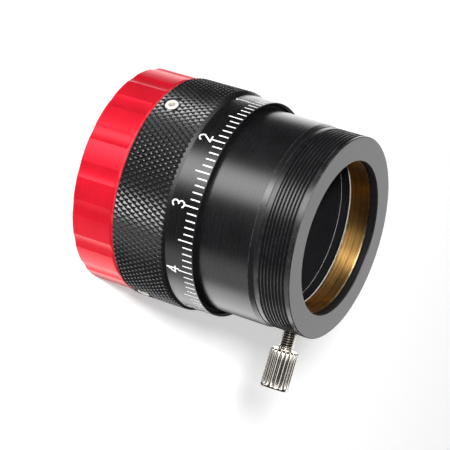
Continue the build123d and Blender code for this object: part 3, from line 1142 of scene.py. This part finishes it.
class FOCUSER_OT_compression_ring(bpy.types.Operator):
    """Split brass ring with chamfered edges."""

    bl_idname = "focuser.compression_ring"
    bl_label = "Compression ring"

    def execute(self, context):
        low, high = extent("compression_ring")
        inner, outer = 15.9, high.x
        ends = low.z + 0.2, high.z - 0.2
        points, _ = eased((
            (inner + 0.2, low.z, 0.04), (outer, low.z, 0.04), (outer, high.z, 0.04),
            (inner + 0.2, high.z, 0.04), (inner, ends[1], 0.04), (inner, high.z - 0.45),
            (inner, low.z + 0.45), (inner, ends[0], 0.04),
        ))
        # Wear within 0.3 of either end paints highlight lines along the ring's edges.
        from_middle = np.abs(points[:, 1] - (low.z + high.z) / 2)
        wear = np.where(from_middle > (high.z - low.z) / 2 - 0.3, 1.0, 0.0)
        half_gap = 0.75 / inner
        middle = math.radians(-120)
        angles = np.linspace(middle + half_gap, middle + math.tau - half_gap, SEGMENTS)
        shape, faces, marks = swept(lambda theta: points, wear, angles, full=False)
        faces += [list(range(len(points))), list(range(len(shape) - len(points), len(shape)))]
        mesh = as_mesh((shape, faces, marks))
        piece("compression_ring_visual", mesh, "drawtube", "bright_brass", ["compression_ring"])
        return {"FINISHED"}


class FOCUSER_OT_thumbscrew(bpy.types.Operator):
    """Thumbscrew: threaded stud with its collar, and the ridged head."""

    bl_idname = "focuser.thumbscrew"
    bl_label = "Thumbscrew"

    def execute(self, context):
        cut = context.scene.focuser_thread
        low, high = extent("thumbscrew_stud")
        head_low, head_high = extent("thumbscrew_head")
        height = screw_height()
        collar = high.x - low.x - 0.8
        full = high.x - low.x
        pitch, depth = cut.screw_pitch / MM, cut.screw_depth / MM
        shaft, waist, end = 1.5, 1.45, 1.18
        shank = turned(
            (
                (shaft, collar), (shaft, collar + 0.02, 0), (1.2, collar + 0.1, 0),
                (1.2, collar + 0.16, 0), (waist, collar + 0.22, 0.05), (waist, full), (0, full), (0, 0),
                (end, 0), (end, 0.02),
            ),
            ease=0.05, segments=60, closed=False,
        )
        thread = threaded(
            shaft, shaft - depth, pitch, 0.02, collar, "nickel_plate", back_radius=end,
            front_radius=shaft, segments=60,
        )
        # Painted highlight on the thread crests, painted shade in the thread roots.
        whole = crest_highlight_root_shade(joined(shank, thread), shaft - depth, shaft - 0.08)
        stud = as_mesh(on_screw_axis(whole, low.x, height))
        piece("thumbscrew_stud_visual", stud, "thumbscrew", "nickel_plate", ["thumbscrew_stud"], 40)
        radius, run = (head_high.z - head_low.z) / 2, head_high.x - head_low.x
        deep = cut.ridge_depth / MM
        levels = (
            (0.0, 1.9, 0), (0.0, radius - 0.42, 0), (0.18, radius - 0.2, 1), (0.34, radius - 0.06, 1),
            (0.5, radius, 1), (2.0, radius, 1), (4.0, radius, 1), (6.0, radius, 1),
            (run - 0.75, radius, 1), (run - 0.62, radius, 0.5), (run - 0.5, radius, 0),
            (run - 0.3, radius, 0), (run - 0.12, radius - 0.05, 0), (run - 0.02, radius - 0.2, 0),
            (run, radius - 0.45, 0), (run, 1.3, 0), (run - 0.12, 1.1, 0), (run - 0.12, 0, 0), (0.0, 0, 0),
        )
        heights, radii, share = np.array(levels).T
        outline = np.column_stack([radii, heights])
        sector = math.tau / cut.ridges

        def ridged(theta):
            shape = outline.copy()
            phase = abs(math.sin(math.pi * (theta / sector % 1)))
            shape[:, 0] -= share * deep * (1 - phase**0.55)
            return shape

        wedge = swept(ridged, np.zeros(len(outline)), np.linspace(0, sector, 13), full=False)
        ring = repeated(wedge, cut.ridges, "nickel_plate")
        # Painted highlight on the ridge tops and end faces, painted shade between the ridges.
        head = crest_highlight_root_shade(ring, radius - 0.9 * deep, radius - 0.25 * deep)
        mesh = as_mesh(on_screw_axis(head, head_low.x, height))
        piece("thumbscrew_head_visual", mesh, "thumbscrew", "nickel_plate", ["thumbscrew_head"], 35)
        return {"FINISHED"}


class FOCUSER_OT_stage(bpy.types.Operator):
    """Pale floor, soft studio light and the camera."""

    bl_idname = "focuser.stage"
    bl_label = "Stage"

    def execute(self, context):
        stage = context.scene.focuser_stage
        low, high = (Vector(corner) for corner in CAD_BOX)
        centre = (low + high) / 2
        self.floor(stage, low.z - FLOOR_GAP)
        self.surround(context.scene, stage)
        self.lamp("key", stage.key, 0.09, (-0.16, -0.8, 0.43), centre)
        self.lamp("dome", stage.dome, 2.4, (-0.1, -0.2, 1.3), centre)
        self.camera(context.scene, stage, centre)
        return {"FINISHED"}

    def floor(self, stage, height):
        mesh = bpy.data.meshes.new("floor")
        work = bmesh.new()
        bmesh.ops.create_circle(work, cap_ends=True, segments=96, radius=4)
        bmesh.ops.translate(work, verts=work.verts, vec=(0, 0, height))
        work.to_mesh(mesh)
        work.free()
        finish = Finish("floor")
        place = finish.add("ShaderNodeTexCoord").outputs["Object"]
        grit = finish.noise(place, 300.0, 3.0)
        tone = tuple(stage.floor)
        ground = finish.mixed(grit, tuple(part * 0.99 for part in tone), tone)
        rough = finish.ranged(grit, 0.3, 0.7, 0.8, 0.9)
        finish.end(ground, rough, grit, 0.02, 0.0001)
        mesh.materials.append(finish.material)
        finish.give({"Emission Color": (1, 1, 1, 1), "Emission Strength": stage.glow})
        floor = in_scene("floor", mesh)
        floor.visible_glossy = False
        floor.visible_shadow = False

    def surround(self, scene, stage):
        """Large soft boxes round the object: (azimuth, elevation, inner, outer, strength)."""
        boxes = (
            (108, -26, 8, 30, 2.2), (243, -26, 3, 20, 4.6), (32, -26, 12, 30, 2.2),
            (86, 26, 10, 28, 1.4), (-17, -26, 4, 20, 0.8), (180, 60, 16, 36, 0.8),
            (241, 30, 4, 18, 5.5), (243, 2, 3, 15, 9.0), (266, 26, 6, 20, 1.6),
            (228, 60, 6, 24, 2.5), (270, -72, 6, 20, 1.0),
        )
        world = bpy.data.worlds.new("studio")
        scene.world = world
        scene.view_settings.view_transform = "Standard"
        world.cycles_visibility.diffuse = False
        world.use_nodes = True
        tree = world.node_tree
        lamp = tree.nodes["Background"].inputs
        lamp["Color"].default_value = (1, 1, 1, 1)
        way = wire(tree, "ShaderNodeTexCoord").outputs["Generated"]
        total = stage.ambient
        for azimuth, elevation, inner, outer, strength in boxes:
            turn, rise = math.radians(azimuth), math.radians(elevation)
            axis = (math.cos(turn) * math.cos(rise), math.sin(turn) * math.cos(rise), math.sin(rise))
            facing = wire(tree, "ShaderNodeVectorMath", way, axis, operation="DOT_PRODUCT").outputs["Value"]
            outer_edge, inner_edge = (math.cos(math.radians(reach)) for reach in (outer, inner))
            edge = wire(
                tree, "ShaderNodeMapRange", facing, outer_edge, inner_edge, 0.0, strength,
                interpolation_type="SMOOTHSTEP",
            )
            total = reckon(tree, "ADD", total, edge.outputs[0])
        plug(tree, total, lamp["Strength"])

    def lamp(self, name, power, size, place, target):
        light = bpy.data.lights.new(name, "AREA")
        light.energy, light.size = power, size
        thing = in_scene(name, light)
        thing.location = place
        thing.rotation_euler = (target - Vector(place)).to_track_quat("-Z", "Y").to_euler()
        thing.visible_glossy = False

    def camera(self, scene, stage, centre):
        aim = centre + Vector(stage.aim)
        turn, rise = stage.azimuth, stage.elevation
        back = Vector((math.sin(turn) * math.cos(rise), -math.cos(turn) * math.cos(rise), math.sin(rise)))
        right = Vector((0, 0, 1)).cross(back).normalized()
        level = Matrix((right, back.cross(right), back)).transposed()
        roll = Matrix.Rotation(stage.roll, 3, "Z")
        eye = bpy.data.cameras.new("camera")
        eye.lens, eye.sensor_width = stage.lens, 36
        thing = in_scene("camera", eye)
        thing.matrix_world = Matrix.Translation(aim + back * stage.distance) @ (level @ roll).to_4x4()
        scene.camera = thing


STEPS = (
    FOCUSER_OT_finishes,
    FOCUSER_OT_stage,
    FOCUSER_OT_base,
    FOCUSER_OT_grip_ring,
    FOCUSER_OT_focus_sleeve,
    FOCUSER_OT_set_screws,
    FOCUSER_OT_scale,
    FOCUSER_OT_drawtube,
    FOCUSER_OT_eyepiece_holder,
    FOCUSER_OT_compression_ring,
    FOCUSER_OT_thumbscrew,
)


class FOCUSER_PT_panel(bpy.types.Panel):
    """Lists the steps that build the focuser's looks."""

    bl_idname = "FOCUSER_PT_panel"
    bl_label = "Focuser"
    bl_space_type = "VIEW_3D"
    bl_region_type = "UI"
    bl_category = "Focuser"

    def draw(self, context):
        for step in STEPS:
            self.layout.operator(step.bl_idname)


def register():
    for kind in (*GROUPS.values(), *STEPS, FOCUSER_PT_panel):
        bpy.utils.register_class(kind)
    for name, kind in GROUPS.items():
        setattr(bpy.types.Scene, name, PointerProperty(type=kind))


def unregister():
    for name in GROUPS:
        delattr(bpy.types.Scene, name)
    for kind in reversed((*GROUPS.values(), *STEPS, FOCUSER_PT_panel)):
        bpy.utils.unregister_class(kind)


def main():
    """Builds every piece in order."""
    register()
    for step in STEPS:
        group, name = step.bl_idname.split(".")
        if getattr(getattr(bpy.ops, group), name)() != {"FINISHED"}:
            raise RuntimeError(f"{step.bl_label} did not finish")


if __name__ == "__main__":
    main()
